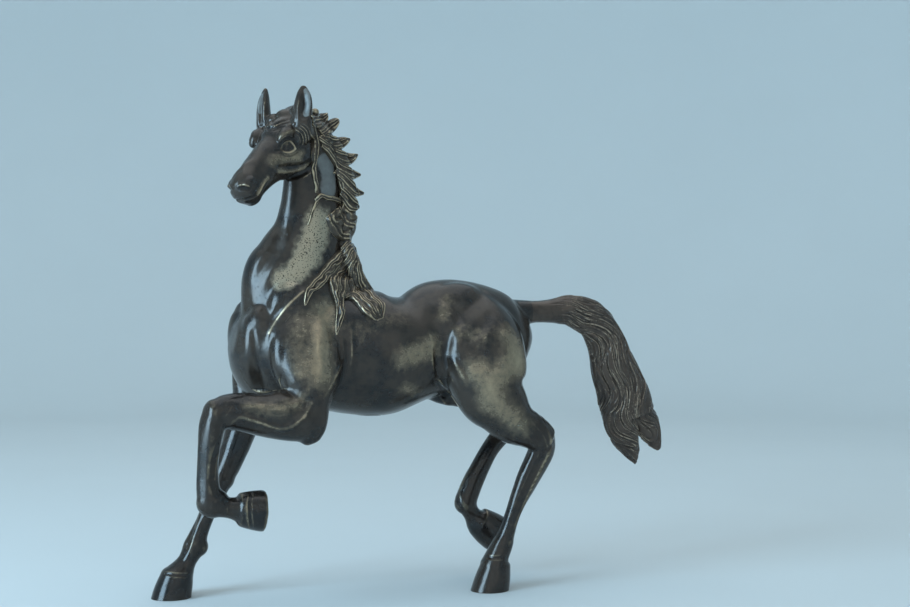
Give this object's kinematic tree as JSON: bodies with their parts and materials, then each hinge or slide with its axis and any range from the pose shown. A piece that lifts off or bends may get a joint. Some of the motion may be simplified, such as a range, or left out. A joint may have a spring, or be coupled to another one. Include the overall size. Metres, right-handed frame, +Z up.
{
  "type": "horse statue",
  "caption": "Cast bronze horse at a trot with turned head, spiked crest, wavy mane locks and arched tail, standing on its own hooves as a table ornament.",
  "frame": {"origin": "on the ground, under the centre of the overall box", "axes": "the horse faces -X, its left side is towards -Y, +Z is up"},
  "size_m": [0.3002, 0.0796, 0.2761],
  "materials": {
    "bronze_body": "satin dark brown and grey patina",
    "bronze_neck": "satin patina, worn paler on the neck",
    "bronze_head": "satin dark brown patina",
    "bronze_hair": "satin brown patina with bright strands",
    "bronze_tail": "satin dark patina",
    "bronze_leg": "satin dark patina",
    "pin": "filed flush and patinated",
    "plug": "filed flush and patinated"
  },
  "bodies": {
    "root": {"torso": "bronze_body", "neck": "bronze_neck", "head": "bronze_head", "mane_crest": "bronze_hair", "mane_fall_left": "bronze_hair", "mane_fall_right": "bronze_hair", "tail": "bronze_tail", "left_fore_leg": "bronze_leg", "right_fore_leg": "bronze_leg", "left_hind_leg": "bronze_leg", "right_hind_leg": "bronze_leg", "neck_pin": "pin", "head_pin": "pin", "tail_pin": "pin", "left_fore_leg_pin": "pin", "right_fore_leg_pin": "pin", "left_hind_leg_pin": "pin", "right_hind_leg_pin": "pin", "belly_plug": "plug"}
  },
  "joints": []
}
